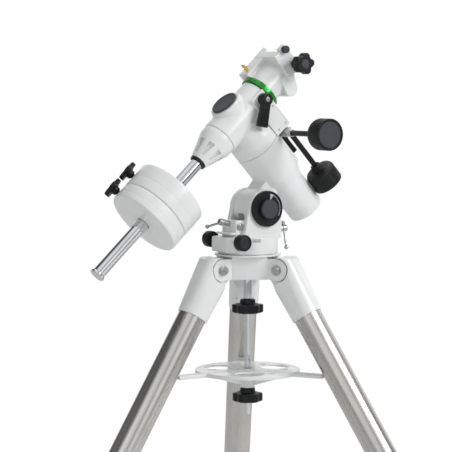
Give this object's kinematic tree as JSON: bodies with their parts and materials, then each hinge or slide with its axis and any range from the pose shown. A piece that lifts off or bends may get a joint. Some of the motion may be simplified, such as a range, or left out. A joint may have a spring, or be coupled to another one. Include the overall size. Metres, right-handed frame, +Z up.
{
  "type": "equatorial telescope mount on tripod",
  "caption": "German equatorial mount on a steel-tube tripod, with slow-motion controls, counterweights on a bar, a dovetail saddle and a centre tray.",
  "frame": {"origin": "on the floor, under the middle of the mount's outline, with the legs fully retracted; the azimuth axis is 111.4 mm behind it, towards +Y", "axes": "+Z up, parallel to the azimuth axis; the polar axis rises towards -Y; the altitude axis lies along X, with the latitude dial on the +X side"},
  "size_m": [0.8044, 0.7015, 0.9804],
  "materials": {
    "white_paint": "gloss",
    "black_plastic": "satin",
    "grey_cap": "satin",
    "stainless": "brushed",
    "chrome": "polished",
    "steel": "satin",
    "green_anodised": "anodised",
    "brass": "polished",
    "bronze": "machined"
  },
  "bodies": {
    "tripod": {"tripod_head": "white_paint", "leg_bolt_1": "steel", "leg_bolt_2": "steel", "leg_bolt_3": "steel"},
    "shaft": {"centre_rod": "chrome", "mount_lock_knob": "black_plastic"},
    "tray": {"tray": "white_paint"},
    "tray_knob": {"tray_lock_knob": "black_plastic"},
    "leg_1": {"leg_casting_1": "white_paint", "leg_tube_1": "stainless", "leg_clamp_1": "black_plastic"},
    "clamp_screw_1": {"clamp_screw_1": "steel"},
    "lower_leg_1": {"lower_leg_1": "stainless"},
    "leg_2": {"leg_casting_2": "white_paint", "leg_tube_2": "stainless", "leg_clamp_2": "black_plastic"},
    "clamp_screw_2": {"clamp_screw_2": "steel"},
    "lower_leg_2": {"lower_leg_2": "stainless"},
    "leg_3": {"leg_casting_3": "white_paint", "leg_tube_3": "stainless", "leg_clamp_3": "black_plastic"},
    "clamp_screw_3": {"clamp_screw_3": "steel"},
    "lower_leg_3": {"lower_leg_3": "stainless"},
    "base": {"azimuth_base": "white_paint", "altitude_bolt": "grey_cap"},
    "azimuth_knob_1": {"azimuth_knob_1": "black_plastic"},
    "azimuth_knob_2": {"azimuth_knob_2": "black_plastic"},
    "latitude_screw_north": {"latitude_screw_north": "steel"},
    "latitude_screw_south": {"latitude_screw_south": "steel"},
    "polar": {"ra_housing": "white_paint", "latitude_dial": "black_plastic"},
    "polar_cover": {"polar_cover": "white_paint"},
    "ra_worm": {"ra_worm": "steel", "ra_slow_rod": "black_plastic", "ra_slow_knob": "black_plastic"},
    "ra_clutch": {"ra_clutch_lever": "black_plastic"},
    "head": {"dec_housing": "white_paint", "dec_worm_cover": "white_paint", "bar_adapter": "white_paint", "bar_lock_ring": "black_plastic", "weight_bar": "chrome", "ra_shaft": "steel", "ra_worm_wheel": "bronze"},
    "front_cap": {"front_cap": "grey_cap"},
    "dec": {"dec_shaft": "steel", "dec_worm_wheel": "bronze", "saddle": "white_paint"},
    "dec_circle": {"dec_circle": "green_anodised"},
    "dec_worm": {"dec_worm": "steel", "dec_slow_rod": "black_plastic", "dec_slow_knob": "black_plastic"},
    "dec_clutch": {"dec_clutch_lever": "black_plastic"},
    "saddle_knob": {"saddle_knob": "black_plastic"},
    "saddle_lock": {"saddle_lock_screw": "grey_cap"},
    "pointer_screw": {"pointer_screw": "brass"},
    "weight_rear": {"weight_rear": "white_paint"},
    "weight_front": {"weight_front": "white_paint"},
    "weight_knob_rear": {"weight_knob_rear": "black_plastic"},
    "weight_knob_front": {"weight_knob_front": "black_plastic"},
    "toe_stop": {"toe_stop": "chrome"}
  },
  "joints": [
    {"name": "leg_1_fold", "type": "hinge", "parent": "tripod", "child": "leg_1", "pos_m": [0, 0.0504, 0.6255], "axis": [1, 0, 0], "range_deg": [0, 21.4]},
    {"name": "lower_leg_1_slide", "type": "slide", "parent": "leg_1", "child": "lower_leg_1", "axis": [0, -0.521, -0.8536], "range_m": [0, 0.45]},
    {"name": "clamp_screw_1_turn", "type": "hinge", "parent": "leg_1", "child": "clamp_screw_1", "pos_m": [0, -0.32284, 0.08313], "axis": [0, -0.8536, 0.521], "continuous": true},
    {"name": "leg_2_fold", "type": "hinge", "parent": "tripod", "child": "leg_2", "pos_m": [0.05283, 0.1419, 0.6255], "axis": [-0.5, 0.866, 0], "range_deg": [-0.05, 21.45]},
    {"name": "lower_leg_2_slide", "type": "slide", "parent": "leg_2", "child": "lower_leg_2", "axis": [0.4512, 0.2605, -0.8536], "range_m": [0, 0.45]},
    {"name": "clamp_screw_2_turn", "type": "hinge", "parent": "leg_2", "child": "clamp_screw_2", "pos_m": [0.37606, 0.32852, 0.08313], "axis": [0.7392, 0.4268, 0.521], "continuous": true},
    {"name": "leg_3_fold", "type": "hinge", "parent": "tripod", "child": "leg_3", "pos_m": [-0.05283, 0.1419, 0.6255], "axis": [-0.5, -0.866, 0], "range_deg": [-0.05, 21.45]},
    {"name": "lower_leg_3_slide", "type": "slide", "parent": "leg_3", "child": "lower_leg_3", "axis": [-0.4512, 0.2605, -0.8536], "range_m": [0, 0.45]},
    {"name": "clamp_screw_3_turn", "type": "hinge", "parent": "leg_3", "child": "clamp_screw_3", "pos_m": [-0.37606, 0.32852, 0.08313], "axis": [-0.7392, 0.4268, 0.521], "continuous": true},
    {"name": "tray_slide", "type": "slide", "parent": "tripod", "child": "tray", "axis": [0, 0, -1], "range_m": [-0.0005, 0.38248]},
    {"name": "tray_knob_turn", "type": "hinge", "parent": "tray", "child": "tray_knob", "pos_m": [0, 0.1114, 0.42], "axis": [0, 0, 1], "continuous": true},
    {"name": "shaft_turn", "type": "hinge", "parent": "tripod", "child": "shaft", "pos_m": [0, 0.1114, 0.565], "axis": [0, 0, 1], "continuous": true},
    {"name": "azimuth_turn", "type": "hinge", "parent": "tripod", "child": "base", "pos_m": [0, 0.1114, 0.6493], "axis": [0, 0, 1], "range_deg": [-7, 7]},
    {"name": "azimuth_knob_1_slide", "type": "slide", "parent": "base", "child": "azimuth_knob_1", "axis": [1, 0, 0], "range_m": [-0.005, 0.005]},
    {"name": "azimuth_knob_2_slide", "type": "slide", "parent": "base", "child": "azimuth_knob_2", "axis": [1, 0, 0], "range_m": [-0.005, 0.005]},
    {"name": "altitude_tilt", "type": "hinge", "parent": "base", "child": "polar", "pos_m": [0, 0.1266, 0.7208], "axis": [1, 0, 0], "range_deg": [-18, 15]},
    {"name": "latitude_screw_north_slide", "type": "slide", "parent": "base", "child": "latitude_screw_north", "axis": [0, 0.9748, -0.2233], "range_m": [-0.0107, 0.009]},
    {"name": "latitude_screw_south_slide", "type": "slide", "parent": "base", "child": "latitude_screw_south", "axis": [0, 1, 0], "range_m": [-0.011, 0.0093]},
    {"name": "polar_cover_pull", "type": "slide", "parent": "polar", "child": "polar_cover", "axis": [0, 0.6769, -0.7361], "range_m": [0, 0.05]},
    {"name": "ra_turn", "type": "hinge", "parent": "polar", "child": "head", "pos_m": [0, 0.0901, 0.8624], "axis": [0, -0.6769, 0.7361], "range_deg": [0, 80]},
    {"name": "ra_worm_turn", "type": "hinge", "parent": "polar", "child": "ra_worm", "pos_m": [0, 0.16207, 0.84027], "axis": [1, 0, 0], "continuous": true},
    {"name": "ra_clutch_turn", "type": "hinge", "parent": "polar", "child": "ra_clutch", "pos_m": [0.001, 0.17589, 0.82717], "axis": [0, 0.7361, 0.6769], "range_deg": [0, 60]},
    {"name": "front_cap_pull", "type": "slide", "parent": "head", "child": "front_cap", "axis": [0, -0.6769, 0.7361], "range_m": [0, 0.04]},
    {"name": "dec_turn", "type": "hinge", "parent": "head", "child": "dec", "pos_m": [0, 0.0901, 0.8624], "axis": [0, 0.7361, 0.6769], "continuous": true},
    {"name": "dec_circle_turn", "type": "hinge", "parent": "dec", "child": "dec_circle", "pos_m": [0, 0.13353, 0.90234], "axis": [0, 0.7361, 0.6769], "continuous": true},
    {"name": "dec_worm_turn", "type": "hinge", "parent": "head", "child": "dec_worm", "pos_m": [0.0261, 0.12507, 0.89455], "axis": [0, 0.6769, -0.7361], "continuous": true},
    {"name": "dec_clutch_turn", "type": "hinge", "parent": "head", "child": "dec_clutch", "pos_m": [0.0315, 0.11831, 0.89377], "axis": [1, 0, 0], "range_deg": [-40, 0]},
    {"name": "saddle_knob_turn", "type": "hinge", "parent": "dec", "child": "saddle_knob", "pos_m": [0.03, 0.18045, 0.94956], "axis": [1, 0, 0], "continuous": true},
    {"name": "saddle_lock_turn", "type": "hinge", "parent": "dec", "child": "saddle_lock", "pos_m": [0.03, 0.16017, 0.97235], "axis": [1, 0, 0], "continuous": true},
    {"name": "pointer_screw_turn", "type": "hinge", "parent": "dec", "child": "pointer_screw", "pos_m": [-0.012, 0.1191, 0.93797], "axis": [0, -0.6769, 0.7361], "continuous": true},
    {"name": "weight_rear_slide", "type": "slide", "parent": "head", "child": "weight_rear", "axis": [0, 0.7361, 0.6769], "range_m": [0, 0.06]},
    {"name": "weight_front_slide", "type": "slide", "parent": "head", "child": "weight_front", "axis": [0, -0.7361, -0.6769], "range_m": [0, 0.095]},
    {"name": "weight_knob_rear_turn", "type": "hinge", "parent": "weight_rear", "child": "weight_knob_rear", "pos_m": [-0.0309, -0.08126, 0.7747], "axis": [-0.515, -0.5802, 0.631], "continuous": true},
    {"name": "weight_knob_front_turn", "type": "hinge", "parent": "weight_front", "child": "weight_knob_front", "pos_m": [-0.03268, -0.10642, 0.75005], "axis": [-0.5446, -0.5677, 0.6173], "continuous": true},
    {"name": "toe_stop_turn", "type": "hinge", "parent": "head", "child": "toe_stop", "pos_m": [0, -0.16165, 0.63091], "axis": [0, 0.7361, 0.6769], "continuous": true}
  ],
  "couplings": [
    {"joint": "leg_2_fold", "follows": "leg_1_fold", "ratio": 1},
    {"joint": "leg_3_fold", "follows": "leg_1_fold", "ratio": 1},
    {"joint": "tray_slide", "follows": "leg_1_fold", "m_per_rad": 1.0227},
    {"joint": "azimuth_knob_1_slide", "follows": "azimuth_turn", "m_per_rad": -0.0405},
    {"joint": "azimuth_knob_2_slide", "follows": "azimuth_turn", "m_per_rad": -0.0405},
    {"joint": "latitude_screw_north_slide", "follows": "altitude_tilt", "m_per_rad": 0.0338},
    {"joint": "latitude_screw_south_slide", "follows": "altitude_tilt", "m_per_rad": 0.0348},
    {"joint": "ra_worm_turn", "follows": "ra_turn", "ratio": 144},
    {"joint": "dec_worm_turn", "follows": "dec_turn", "ratio": 144}
  ]
}
